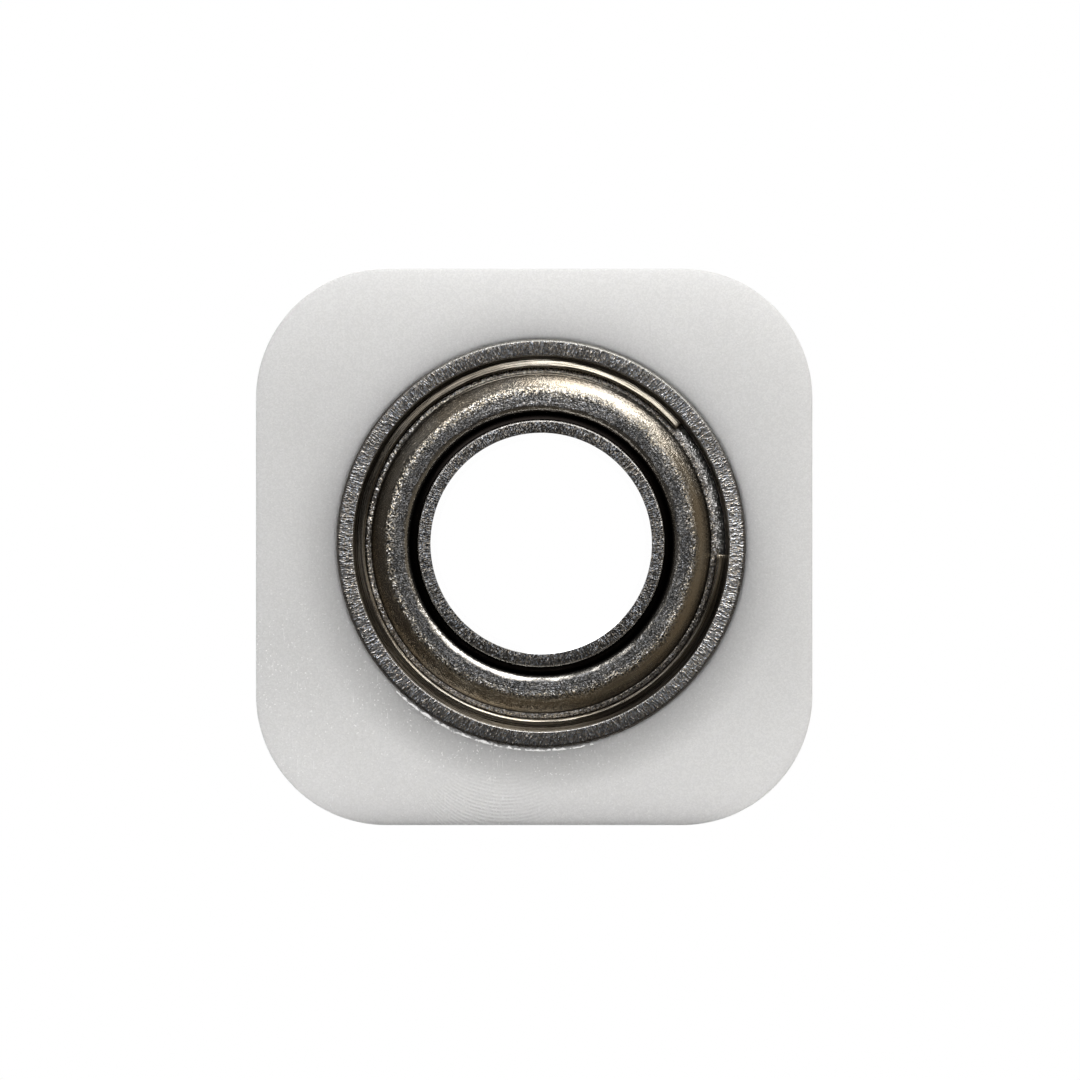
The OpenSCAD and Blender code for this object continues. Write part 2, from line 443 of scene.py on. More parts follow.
def largest(tree, *values):
    return chained(tree, "MAXIMUM", values)


def rest_of(tree, share):
    """What a share leaves of 1."""
    return maths(tree, "SUBTRACT", 1.0, share)


def step_up(tree, value, low, high):
    """0 below low and 1 above high, with a smooth rise between them. It falls where low is above high."""
    inputs = {"Value": value, "From Min": low, "From Max": high}
    return add(tree, "MapRange", inputs, interpolation_type="SMOOTHSTEP").outputs[0]


def mix_values(tree, share, first, second):
    return add(tree, "Mix", {0: share, 2: first, 3: second}, data_type="FLOAT").outputs[0]


def blend_colours(tree, share, first, second, kind="MIX"):
    inputs = {"Factor": share, 6: first, 7: second}
    return add(tree, "Mix", inputs, data_type="RGBA", blend_type=kind).outputs[2]


def tinted(tree, colour, tint):
    return blend_colours(tree, 1.0, colour, tint, kind="MULTIPLY")


def scaled(tree, vector, factor):
    return add(tree, "VectorMath", {0: vector, "Scale": factor}, operation="SCALE").outputs[0]


def noise_at(tree, place, scale, detail=2.0, rough=0.5):
    inputs = {"Vector": place, "Scale": scale, "Detail": detail, "Roughness": rough}
    return add(tree, "TexNoise", inputs).outputs["Fac"]


def effect(name, inputs, outputs):
    """An empty node group with named inputs and outputs."""
    tree = bpy.data.node_groups.new(name, "ShaderNodeTree")
    for label, kind, value in inputs:
        socket = tree.interface.new_socket(label, in_out="INPUT", socket_type="NodeSocket" + kind)
        socket.default_value = value
    for label, kind in outputs:
        tree.interface.new_socket(label, in_out="OUTPUT", socket_type="NodeSocket" + kind)
    given = tree.nodes.new("NodeGroupInput").outputs
    result = tree.nodes.new("NodeGroupOutput").inputs
    return tree, given, result


def use(tree, group, **values):
    """The outputs of a node group placed in a tree. Underscores stand for spaces in input names."""
    node = tree.nodes.new("ShaderNodeGroup")
    node.node_tree = group
    for name, value in values.items():
        join(tree, value, node.inputs[name.replace("_", " ")])
    return node.outputs


# ---------------------------------------------------------------- shared effects

def millimetres(tree):
    """The point that is shaded, in millimetres."""
    return scaled(tree, add(tree, "TexCoord").outputs["Object"], 1 / MM)


def wrapped(tree, angle, reach, third):
    """A place on a circle of some reach, so that noise joins up round the bore axis."""
    return add(tree, "CombineXYZ", {
        0: product(tree, maths(tree, "COSINE", angle), reach),
        1: product(tree, maths(tree, "SINE", angle), reach),
        2: third,
    }).outputs[0]


def bore_place_effect():
    """Where a point lies about the bore axis: radius and height in millimetres, angle in radians."""
    tree, _, result = effect("place_about_the_bore", [], [
        ("Radius", "Float"), ("Angle", "Float"), ("Height", "Float"),
    ])
    x, y, z = add(tree, "SeparateXYZ", {0: millimetres(tree)}).outputs
    square = total(tree, product(tree, x, x), product(tree, z, z))
    tree.links.new(maths(tree, "SQRT", square), result["Radius"])
    tree.links.new(maths(tree, "ARCTAN2", z, x), result["Angle"])
    tree.links.new(product(tree, y, -1), result["Height"])
    return tree


def swirl_effect():
    """Noise drawn out into streaks that lean across the radius, without a seam round the bore axis."""
    tree, given, result = effect("leaning_streaks", [
        ("Fineness", "Float", 9.0), ("Lean", "Float", 0.4), ("Length", "Float", 0.4),
        ("Offset", "Float", 0.0),
    ], [("Height", "Float")])
    place = use(tree, effects["place"])
    lean = product(tree, maths(tree, "DIVIDE", place["Radius"], pitch_r), given["Lean"])
    reach = product(tree, given["Fineness"], pitch_r)
    along = total(tree, maths(tree, "DIVIDE", place["Radius"], given["Length"]), given["Offset"])
    streaked = wrapped(tree, total(tree, place["Angle"], lean), reach, along)
    tree.links.new(noise_at(tree, streaked, 1.0, 1.5, 0.6), result["Height"])
    return tree


def ground_scratch_effect():
    """Crossed scratches of a disc grinder, which run roughly outwards from the bore."""
    tree, given, result = effect("ground_scratches", [
        ("Fineness", "Float", 9.0), ("Lean", "Float", 0.5), ("Length", "Float", 0.4),
    ], [("Height", "Float"), ("Tone", "Float")])
    crossed_share = 0.55
    layers = []
    for lean_share, offset in ((1, 3.37), (-0.8, 41.71), (0.1, 87.43)):
        lean = product(tree, given["Lean"], lean_share)
        streaks = use(tree, effects["streaks"], Fineness=given["Fineness"], Length=given["Length"],
                      Lean=lean, Offset=offset)
        layers.append(streaks["Height"])
    one_way, other_way, outward = layers
    crossed = largest(tree, one_way, other_way)
    height = total(tree, product(tree, crossed, crossed_share), product(tree, outward, 1 - crossed_share))
    tree.links.new(height, result["Height"])
    tree.links.new(step_up(tree, height, 0.44, 0.62), result["Tone"])
    return tree


def tumbled_effect():
    """The sparkling skin that tumbling leaves on pressed sheet."""
    tree, given, result = effect("tumbled_skin", [
        ("Grain", "Float", 14.0), ("Dents", "Float", 0.5),
    ], [("Height", "Float"), ("Speckle", "Float"), ("Tint", "Float"), ("Facets", "Vector")])
    place = millimetres(tree)
    fine = noise_at(tree, place, given["Grain"], 1.5, 0.7)
    cells = add(tree, "TexVoronoi", {"Vector": place, "Scale": given["Grain"]}, feature="F1").outputs
    tree.links.new(total(tree, fine, product(tree, cells["Distance"], given["Dents"])), result["Height"])
    pick = add(tree, "SeparateColor", {0: cells["Color"]}).outputs
    tree.links.new(step_up(tree, pick[0], 0.1, 1.0), result["Speckle"])
    tree.links.new(pick[1], result["Tint"])
    middle = (0.5, 0.5, 0.5)
    tilt = add(tree, "VectorMath", {0: cells["Color"], 1: middle}, operation="SUBTRACT").outputs[0]
    tree.links.new(tilt, result["Facets"])
    return tree


def turned_line_effect():
    """Fine lines that run round the bore axis, as a lathe tool or a drawing die leaves them."""
    tree, given, result = effect("turned_lines", [
        ("Fineness", "Float", 16.0), ("Break Up", "Float", 0.35),
    ], [("Height", "Float"), ("Tone", "Float")])
    place = use(tree, effects["place"])
    reach = product(tree, given["Break Up"], pitch_r)
    across = total(tree, place["Radius"], product(tree, place["Height"], 0.8))
    lined = wrapped(tree, place["Angle"], reach, product(tree, across, given["Fineness"]))
    lines = noise_at(tree, lined, 1.0, 2.0, 0.6)
    tree.links.new(lines, result["Height"])
    tree.links.new(step_up(tree, lines, 0.35, 0.65), result["Tone"])
    return tree


def rim_effect():
    """A mark that follows a circle about the bore axis, broken up by noise."""
    tree, given, result = effect("marked_rim", [
        ("Rim Radius", "Float", 7.0), ("Width", "Float", 0.05), ("Patches", "Float", 3.0),
        ("Cover", "Float", 0.6),
    ], [("Mask", "Float")])
    place = use(tree, effects["place"])
    off = maths(tree, "ABSOLUTE", maths(tree, "SUBTRACT", place["Radius"], given["Rim Radius"]))
    near = maths(tree, "SUBTRACT", 1.0, maths(tree, "DIVIDE", off, given["Width"]), clamp=True)
    patches = noise_at(tree, millimetres(tree), given["Patches"], 3.0, 0.7)
    cover = maths(tree, "SUBTRACT", total(tree, patches, given["Cover"]), 0.5, clamp=True)
    tree.links.new(product(tree, near, step_up(tree, cover, 0.35, 0.65)), result["Mask"])
    return tree


def film_effect():
    """A thin uneven film of oil and heat colour, from one tone to another."""
    tree, given, result = effect("oil_film", [
        ("Bare", "Color", (0.3, 0.3, 0.3, 1)), ("Filmed", "Color", (0.3, 0.2, 0.1, 1)),
        ("Amount", "Float", 0.5), ("Patches", "Float", 0.6),
    ], [("Color", "Color")])
    cloud = step_up(tree, noise_at(tree, millimetres(tree), given["Patches"], 4.0, 0.6), 0.3, 0.7)
    share = maths(tree, "MULTIPLY", cloud, given["Amount"], clamp=True)
    tree.links.new(blend_colours(tree, share, given["Bare"], given["Filmed"]), result["Color"])
    return tree


def milled_effect():
    """Arcs of an end mill that is fed down a face, clearest low on the face, and fine upright lines."""
    tree, given, result = effect("milled_arcs", [
        ("Cutter Radius", "Float", 3.7), ("Feed", "Float", 0.142), ("Middle", "Float", -1.4),
        ("Fade Middle", "Float", -2.1), ("Fade Width", "Float", 2.9),
        ("Start Height", "Float", -8.7), ("Start Length", "Float", 1.2),
    ], [("Height", "Float"), ("Lines", "Float"), ("Mask", "Float"), ("Worked", "Float")])
    x, _, z = add(tree, "SeparateXYZ", {0: millimetres(tree)}).outputs

    # The arcs, a feed apart
    off = maths(tree, "SUBTRACT", x, given["Middle"])
    room = maths(tree, "SUBTRACT", maths(tree, "POWER", given["Cutter Radius"], 2),
                 maths(tree, "POWER", off, 2))
    drop = maths(tree, "SQRT", largest(tree, room, 0))
    jitter = noise_at(tree, millimetres(tree), 0.9, 1.0, 0.5)
    turns = maths(tree, "DIVIDE", total(tree, z, drop), given["Feed"])
    wave = maths(tree, "SINE", product(tree, total(tree, turns, jitter), FULL_TURN))
    tree.links.new(total(tree, product(tree, wave, 0.5), 0.5), result["Height"])

    # The upright lines, finer across than along
    across, along = 15, 1.6
    stretched = add(tree, "CombineXYZ", {0: product(tree, x, across), 2: product(tree, z, along)})
    tree.links.new(noise_at(tree, stretched.outputs[0], 1.0, 3.0, 0.6), result["Lines"])

    # Where the arcs show
    aside = maths(tree, "ABSOLUTE", maths(tree, "SUBTRACT", x, given["Fade Middle"]))
    beside = maths(tree, "SUBTRACT", 1.0, maths(tree, "DIVIDE", aside, given["Fade Width"]), clamp=True)
    below = maths(tree, "SUBTRACT", given["Start Height"], z)
    low = maths(tree, "DIVIDE", below, given["Start Length"], clamp=True)
    patchy = step_up(tree, noise_at(tree, millimetres(tree), 3.2, 4.0, 0.75), 0.38, 0.6)
    tree.links.new(product(tree, beside, low, patchy), result["Mask"])

    # Where the lines and chips show, most at the lower left
    lower_left = step_up(tree, total(tree, z, product(tree, x, 0.45)), -4.5, -10.5)
    clouded = step_up(tree, noise_at(tree, millimetres(tree), 0.8), 0.3, 0.6)
    tree.links.new(product(tree, lower_left, clouded), result["Worked"])
    return tree


effects = {"place": bore_place_effect()}
effects["streaks"] = swirl_effect()
effects["ground"] = ground_scratch_effect()
effects["tumbled"] = tumbled_effect()
effects["turned"] = turned_line_effect()
effects["rim"] = rim_effect()
effects["film"] = film_effect()
effects["milled"] = milled_effect()


# ---------------------------------------------------------------- finishes

# Places about the bore axis: the middle, how far away the mark ends, and how far it is full, in degrees.
CORNER_HIGHLIGHT = (76, 60, 26)
FACE_SHEEN = (346, 46, 16)
MOUTH_SHADE = (322, 46, 18)
CREASE_LIT = (92, 32, 12)
CROWN_HIGHLIGHT = (88, 34, 12)
CROWN_SHADE = (265, 50, 22)
GOLD_HIGHLIGHT = ((100, 42, 22), (265, 90, 60))
LEDGE_LIT = (78, 42, 18)
LEDGE_SHADE = (318, 46, 20)
LEDGE_HIGHLIGHT = (100, 40, 22)
FOOT_SHADE = (262, 70, 35)
LIP_SHADE = (316, 44, 20)
WIRE_STRAW_AND_SHADE = (60, 32, 10)
WIRE_SHADE = ((137, 52, 22), (316, 42, 20))
PLASTIC_LIT = (78, 105, 50)

# Painted shade, a pale straw tint, and worn edge steel lightened as a painted highlight
SHADE_BROWN = (0.05, 0.045, 0.04, 1)
PALE_STRAW = (0.62, 0.55, 0.44, 1)
RUBBED_EDGE_SHEEN = (0.85, 0.83, 0.8, 1)


def grey(level):
    return (level, level, level, 1)


def new_finish(name, **uniform):
    """A material with one principled shader, whose uniform values are set on its own sockets."""
    finish = bpy.data.materials.new(name)
    finish.use_nodes = True
    tree = finish.node_tree
    shader = tree.nodes["Principled BSDF"]
    for label, value in uniform.items():
        shader.inputs[label.replace("_", " ")].default_value = value
    return finish, tree, shader


def give(tree, shader, colour, roughness, normal):
    """Joins what a finish has worked out to its shader."""
    tree.links.new(colour, shader.inputs["Base Color"])
    tree.links.new(roughness, shader.inputs["Roughness"])
    tree.links.new(normal, shader.inputs["Normal"])


def bump(tree, height, depth):
    """A normal bent by a height, where a height of 1 stands for that many millimetres."""
    inputs = {"Height": height, "Distance": depth * MM, "Strength": 1.0}
    return add(tree, "Bump", inputs).outputs[0]


def faceted(tree, normal, facets, strength):
    """A normal that each grain tilts its own way."""
    tilt = scaled(tree, facets, strength)
    leaning = add(tree, "VectorMath", {0: normal, 1: tilt}, operation="ADD").outputs[0]
    return add(tree, "VectorMath", {0: leaning}, operation="NORMALIZE").outputs[0]


def near_angle(tree, middle, ends, full):
    """1 near an angle about the bore axis and 0 away from it, with a smooth fall between, all in degrees."""
    away = maths(tree, "SUBTRACT", use(tree, effects["place"])["Angle"], math.radians(middle))
    nearness = maths(tree, "COSINE", away)
    return step_up(tree, nearness, math.cos(math.radians(ends)), math.cos(math.radians(full)))


def ring_steel():
    """Hardened bearing steel: ground ends, turned recesses, worn edges lightened partly as painted highlight,
    painted shade in its recesses, and a polished bore and lead.
    """
    finish, tree, shader = new_finish("ground_bearing_steel", Metallic=1.0)
    place = use(tree, effects["place"])
    radius = place["Radius"]
    depth = maths(tree, "ABSOLUTE", place["Height"])
    ground = use(tree, effects["ground"], Fineness=18.0, Lean=0.3, Length=0.35)
    coarse = use(tree, effects["ground"], Fineness=8.0, Lean=0.12, Length=1.5)
    flecks = use(tree, effects["tumbled"], Grain=24.0)
    lines = use(tree, effects["turned"], Fineness=14.0, Break_Up=0.4)
    film = use(tree, effects["film"], Bare=(0.385, 0.383, 0.38, 1), Filmed=(0.35, 0.33, 0.3, 1),
               Amount=0.6, Patches=0.5)

    # Where the parts of a ring begin and end
    corner_r = outer_r - outer_corner
    lead_r = bore_r + lead_w
    on_end = step_up(tree, depth, face_h - 0.025, face_h - 0.005)
    on_outer = step_up(tree, radius, inner_land_r, mouth_r)
    at_corner = step_up(tree, radius, corner_r - 0.01, corner_r + 0.07)
    in_corner = step_up(tree, radius, outer_r - 0.15, outer_r - 0.125)
    in_bore = step_up(tree, radius, lead_r + 0.004, lead_r - 0.004)
    recessed = step_up(tree, depth, seat_h + 0.35, seat_h + 0.2)
    by_land = product(tree, step_up(tree, radius, lip_r, lip_r - 0.05),
                      step_up(tree, depth, face_h - 0.08, face_h - 0.14))
    in_mouth = product(tree, step_up(tree, radius, mouth_r + 0.03, mouth_r),
                       step_up(tree, radius, throat_r - 0.3, throat_r - 0.2))

    # Turned surfaces, with painted shade: near black in the recesses, at the outer edge beside the plastic
    # and in the notch by the land, where the lamps cannot reach
    recess = blend_colours(tree, lines["Tone"], (0.09, 0.08, 0.07, 1), (0.17, 0.155, 0.135, 1))
    # Painted highlight: the rounded outer corner is lighter near the top, where the lamps catch it
    wear_and_sheen = near_angle(tree, *CORNER_HIGHLIGHT)
    corner = blend_colours(tree, wear_and_sheen, (0.14, 0.13, 0.12, 1), (0.48, 0.47, 0.44, 1))
    recess = blend_colours(tree, at_corner, recess, corner)
    painted_recess_shade = largest(tree, recessed, in_corner, by_land)
    recess = blend_colours(tree, painted_recess_shade, recess, (0.012, 0.01, 0.009, 1))

    # Ground end faces
    ground_tone = blend_colours(tree, ground["Tone"], (0.56, 0.56, 0.57, 1), (1.37, 1.36, 1.34, 1))
    face = tinted(tree, film["Color"], ground_tone)
    # Painted sheen: the outer ring's face is lighter on its right, where its scratches catch the light from
    # above
    outer_level = mix_values(tree, near_angle(tree, *FACE_SHEEN), 1.02, 1.7)
    face = scaled(tree, face, mix_values(tree, on_outer, 0.62, outer_level))
    straw_to_blue = blend_colours(tree, flecks["Tint"], (1.12, 1.0, 0.84, 1), (0.88, 0.99, 1.18, 1))
    face = tinted(tree, face, straw_to_blue)
    face = scaled(tree, face, mix_values(tree, flecks["Speckle"], 0.62, 1.38))
    colour = blend_colours(tree, product(tree, on_end, rest_of(tree, at_corner)), recess, face)

    # Worn rims, lightened partly as worn steel and partly as a painted highlight on the edges, and painted
    # shade on the lower right of the mouth
    for rim, width in ((mouth_r - 0.005, 0.05), (inner_land_r - 0.02, 0.06)):
        wear_and_sheen = use(tree, effects["rim"], Rim_Radius=rim, Width=width, Patches=2.5, Cover=1.0)["Mask"]
        wear_and_sheen = product(tree, wear_and_sheen, step_up(tree, depth, face_h - 0.09, face_h - 0.06))
        colour = blend_colours(tree, wear_and_sheen, colour, RUBBED_EDGE_SHEEN)
    painted_shade = product(tree, in_mouth, near_angle(tree, *MOUTH_SHADE), 0.7)
    colour = blend_colours(tree, painted_shade, colour, (0.03, 0.027, 0.024, 1))
    colour = blend_colours(tree, in_bore, colour, grey(0.99))

    roughness = mix_values(tree, on_end, mix_values(tree, lines["Tone"], 0.24, 0.34),
                           mix_values(tree, ground["Tone"], 0.36, 0.24))
    roughness = mix_values(tree, in_bore, roughness, 0.06)

    scratches = total(tree, ground["Height"], product(tree, coarse["Height"], 0.27))
    scratches = product(tree, scratches, on_end, mix_values(tree, on_outer, 0.6, 1.0))
    turned_marks = product(tree, lines["Height"], rest_of(tree, on_end), mix_values(tree, in_bore, 0.1, 0.01))
    normal = bump(tree, total(tree, scratches, turned_marks), 0.042)
    tilt = product(tree, on_end, mix_values(tree, on_outer, 0.34, 0.15))
    give(tree, shader, colour, roughness, faceted(tree, normal, flecks["Facets"], tilt))
    return finish


def shield_steel():
    """Pressed, tumbled sheet: sparkling on its crown and flange, smoother and straw coloured on its slope."""
    finish, tree, shader = new_finish("tumbled_shield_steel", Metallic=1.0)
    place = use(tree, effects["place"])
    radius = place["Radius"]
    grains = use(tree, effects["tumbled"], Grain=25.0, Dents=0.5)
    lines = use(tree, effects["turned"], Fineness=11.0, Break_Up=0.5)
    film = use(tree, effects["film"], Bare=(0.58, 0.545, 0.49, 1), Filmed=(0.52, 0.435, 0.33, 1),
               Amount=0.9, Patches=0.5)
    clouds = noise_at(tree, millimetres(tree), 1.1, 3.0, 0.6)
    stray = product(tree, maths(tree, "SUBTRACT", clouds, 0.5), 0.45)
    strayed = total(tree, radius, stray)

    # Where the parts of the pressing begin and end
    slope_middle_r = (crown_corner_r + flange_corner_r) / 2
    slope = product(tree, step_up(tree, strayed, crown_corner_r, crown_corner_r + 0.26),
                    step_up(tree, radius, flange_corner_r + 0.09, flange_corner_r + 0.02))
    crown_rim = step_up(tree, strayed, crown_corner_r - 0.3, crown_corner_r + 0.02)
    at_lip = step_up(tree, strayed, lip_r + 0.2, lip_r + 0.1)
    smooth = largest(tree, slope, at_lip)
    foot = step_up(tree, radius, slope_middle_r, flange_corner_r - 0.1)
    on_flange = step_up(tree, radius, flange_corner_r + 0.04, flange_corner_r + 0.12)

    # The crown, with gold flecks on its rim and arcs of the press tool; painted light makes the crown lighter
    # at the top and darker at the bottom, and its gold rim lighter at the top and the bottom as a painted
    # highlight
    level = mix_values(tree, near_angle(tree, *CROWN_SHADE), 0.66, 1.02)
    level = mix_values(tree, near_angle(tree, *CROWN_HIGHLIGHT), level, 1.6)
    flecks = blend_colours(tree, grains["Tint"], (0.33, 0.3, 0.265, 1), (0.285, 0.3, 0.335, 1))
    flecks = scaled(tree, flecks, level)
    wear_and_sheen = largest(tree, *(near_angle(tree, *spot) for spot in GOLD_HIGHLIGHT))
    gold = blend_colours(tree, grains["Tint"], (0.72, 0.6, 0.41, 1), (0.64, 0.65, 0.68, 1))
    gold = scaled(tree, gold, mix_values(tree, wear_and_sheen, 1.0, 1.36))
    flecks = blend_colours(tree, crown_rim, flecks, gold)
    top = blend_colours(tree, grains["Speckle"], grey(0.09), flecks)
    arcs = product(tree, lines["Tone"], step_up(tree, clouds, 0.4, 0.62), 0.25)
    top = blend_colours(tree, arcs, top, (0.5, 0.49, 0.47, 1))

    # The flange, a ledge painted with light and shade: near white by the wall where the wire is open, painted
    # shade against the wire and at the lower right, and a painted highlight line near the top
    ledge = blend_colours(tree, grains["Tint"], (0.8, 0.7, 0.56, 1), (0.6, 0.63, 0.7, 1))
    ledge = blend_colours(tree, grains["Speckle"], (0.12, 0.11, 0.1, 1), ledge)
    open_front, open_rear = (
        near_angle(tree, opening_at, wire_opening / 2 + 2, wire_opening / 2 - 2)
        for opening_at in (front_opening_at, rear_opening_at)
    )
    in_opening = mix_values(tree, step_up(tree, place["Height"], -0.5, 0.5), open_rear, open_front)
    by_wall = step_up(tree, radius, wire_in_r - 0.12, wire_in_r + 0.1)
    # Painted light: the ledge beside the wall is painted near white where the wire is open
    ledge = blend_colours(tree, product(tree, by_wall, in_opening), ledge, (0.99, 0.98, 0.97, 1))
    # Painted shade beside the wire, left out where the wire is open and near the top, and more at the lower
    # right
    unshaded = largest(tree, in_opening, product(tree, near_angle(tree, *LEDGE_LIT), 0.8))
    by_wire = step_up(tree, radius, wire_in_r - 0.1, wire_in_r - 0.03)
    ledge = blend_colours(tree, product(tree, by_wire, rest_of(tree, unshaded)), ledge, SHADE_BROWN)
    ledge = blend_colours(tree, product(tree, near_angle(tree, *LEDGE_SHADE), 0.62), ledge, SHADE_BROWN)
    # Painted highlight: a light line along the flange's bend near the top
    pressed = use(tree, effects["rim"], Rim_Radius=flange_corner_r + 0.105, Width=0.045, Patches=2.0,
                  Cover=1.1)["Mask"]
    pressed = product(tree, pressed, near_angle(tree, *LEDGE_HIGHLIGHT), 0.7)
    ledge = blend_colours(tree, pressed, ledge, (0.98, 0.9, 0.74, 1))
    top = blend_colours(tree, on_flange, top, ledge)

    # The slope and the lip, with painted shade at the slope's foot, most at the bottom, and on the lip at the
    # lower right
    side = blend_colours(tree, product(tree, lines["Tone"], 0.5), film["Color"], PALE_STRAW)
    painted_shade = product(tree, foot, mix_values(tree, near_angle(tree, *FOOT_SHADE), 0.45, 0.68))
    side = blend_colours(tree, painted_shade, side, SHADE_BROWN)
    lip = blend_colours(tree, near_angle(tree, *LIP_SHADE), (0.68, 0.655, 0.61, 1), (0.33, 0.315, 0.29, 1))
    side = blend_colours(tree, at_lip, side, lip)
    colour = blend_colours(tree, smooth, top, side)

    # Painted shade: the crease between slope and flange is painted near black, less at the top
    crease = use(tree, effects["rim"], Rim_Radius=flange_corner_r + 0.025, Width=0.11, Patches=1.5,
                 Cover=1.5)["Mask"]
    crease = product(tree, crease, mix_values(tree, near_angle(tree, *CREASE_LIT), 1.0, 0.15))
    colour = blend_colours(tree, crease, colour, (0.012, 0.01, 0.008, 1))

    roughness = mix_values(tree, smooth, mix_values(tree, grains["Speckle"], 0.4, 0.28), 0.24)
    dents = product(tree, grains["Height"], mix_values(tree, smooth, 1.0, 0.3))
    drawn = product(tree, lines["Height"], mix_values(tree, smooth, 1.0, 0.25))
    normal = bump(tree, total(tree, dents, drawn), 0.012)
    tilt = mix_values(tree, largest(tree, on_flange, crown_rim), 0.31, 0.53)
    normal = faceted(tree, normal, grains["Facets"], mix_values(tree, smooth, tilt, 0.14))
    give(tree, shader, colour, roughness, normal)
    return finish


def wire_steel():
    """Drawn spring wire with lines along it, a straw tinge, and painted shade."""
    finish, tree, shader = new_finish("spring_wire", Metallic=1.0)
    lines = use(tree, effects["turned"], Fineness=24.0, Break_Up=0.5)
    film = use(tree, effects["film"], Bare=(0.68, 0.64, 0.57, 1), Filmed=(0.61, 0.53, 0.41, 1),
               Amount=0.9, Patches=0.4)
    drawn = blend_colours(tree, lines["Tone"], (0.7, 0.7, 0.7, 1), (1.15, 1.14, 1.12, 1))
    colour = tinted(tree, film["Color"], drawn)
    # A straw tinge near the top right, also darker there as painted shade
    colour = blend_colours(tree, near_angle(tree, *WIRE_STRAW_AND_SHADE), colour, (0.42, 0.385, 0.32, 1))
    # Painted shade at two places round the wire, the upper left and the lower right
    left, right = (near_angle(tree, *spot) for spot in WIRE_SHADE)
    painted_shade = largest(tree, product(tree, left, 0.85), product(tree, right, 0.75))
    colour = blend_colours(tree, painted_shade, colour, (0.06, 0.05, 0.04, 1))
    roughness = mix_values(tree, lines["Tone"], 0.21, 0.31)
    give(tree, shader, colour, roughness, bump(tree, lines["Height"], 0.02))
    return finish


def plain_steel(name, dark, light, rough, depth, grain):
    """Steel of the inner pieces, with a fine mottle in tone, gloss and surface."""
    finish, tree, shader = new_finish(name, Metallic=1.0)
    marks = use(tree, effects["tumbled"], Grain=grain, Dents=0.3)
    colour = blend_colours(tree, marks["Speckle"], dark, light)
    roughness = mix_values(tree, marks["Speckle"], rough, rough * 0.7)
    give(tree, shader, colour, roughness, bump(tree, marks["Height"], depth))
    return finish


def acetal():
    """Milky white acetal: milled and scored faces, fine grain, and light that carries on inside."""
    finish, tree, shader = new_finish(
        "white_acetal", Subsurface_Weight=0.9, Subsurface_Radius=(1.0, 1.0, 0.97), Subsurface_Scale=2.6 * MM,
        IOR=1.48,
    )
    place = use(tree, effects["place"])
    radius = place["Radius"]
    grain = use(tree, effects["tumbled"], Grain=11.0, Dents=0.5)
    fine = use(tree, effects["tumbled"], Grain=19.0)
    milled = use(tree, effects["milled"])
    film = use(tree, effects["film"], Bare=grey(0.715), Filmed=grey(0.7), Amount=0.8, Patches=0.25)

    # Painted light: whiter towards its lower and upper ends; painted shade: greyer beside the ring, least at
    # the top
    up = add(tree, "SeparateXYZ", {0: millimetres(tree)}).outputs[2]
    low_end = step_up(tree, up, -3.0, block_low.z / MM)
    high_end = step_up(tree, up, 4.0, block_high.z / MM)
    ends = largest(tree, low_end, product(tree, high_end, 0.5))
    whitened = product(tree, ends, step_up(tree, radius, seat_r + 0.2, seat_r + 1.8))
    colour = blend_colours(tree, whitened, film["Color"], grey(0.87))
    seat_shade = product(tree, step_up(tree, radius, seat_r + 1.8, seat_r + 0.1),
                     mix_values(tree, near_angle(tree, *PLASTIC_LIT), 0.5, 0.0))
    colour = blend_colours(tree, seat_shade, colour, grey(0.45))
    colour = tinted(tree, colour, blend_colours(tree, fine["Speckle"], grey(0.955), grey(1.035)))

    # Milling marks: grey valleys as painted shade, white ridges as whitened burrs and painted highlight,
    # upright scores and chips
    valley_shade = product(tree, step_up(tree, milled["Height"], 0.6, 0.1), milled["Mask"], 0.4)
    colour = blend_colours(tree, valley_shade, colour, grey(0.58))
    ridge_burr_and_sheen = product(tree, step_up(tree, milled["Height"], 0.5, 0.9), milled["Mask"])
    upright = product(tree, step_up(tree, milled["Lines"], 0.62, 0.7), milled["Worked"], 0.8)
    chips = product(tree, step_up(tree, fine["Tint"], 0.955, 0.985),
                    mix_values(tree, milled["Worked"], 0.2, 1.0))
    on_faces = largest(tree, step_up(tree, place["Height"], block_front_h - 0.04, block_front_h - 0.01),
                       step_up(tree, place["Height"], block_rear_h + 0.04, block_rear_h + 0.01))
    scored = product(tree, largest(tree, ridge_burr_and_sheen, chips, upright), on_faces)
    colour = blend_colours(tree, scored, colour, grey(1.0))

    roughness = mix_values(tree, grain["Speckle"], 0.5, 0.34)
    marks = total(tree, product(tree, grain["Height"], 0.3),
                  product(tree, milled["Height"], milled["Mask"], 2.2),
                  product(tree, milled["Lines"], 0.4))
    give(tree, shader, colour, roughness, bump(tree, marks, 0.007))
    return finish


def whitened_acetal():
    """Acetal that strain has whitened, so that no light carries on inside."""
    finish, tree, shader = new_finish("whitened_acetal", IOR=1.48)
    grain = use(tree, effects["tumbled"], Grain=16.0, Dents=0.6)
    colour = blend_colours(tree, grain["Speckle"], grey(0.82), grey(0.98))
    roughness = mix_values(tree, grain["Speckle"], 0.5, 0.3)
    give(tree, shader, colour, roughness, bump(tree, grain["Height"], 0.01))
    return finish


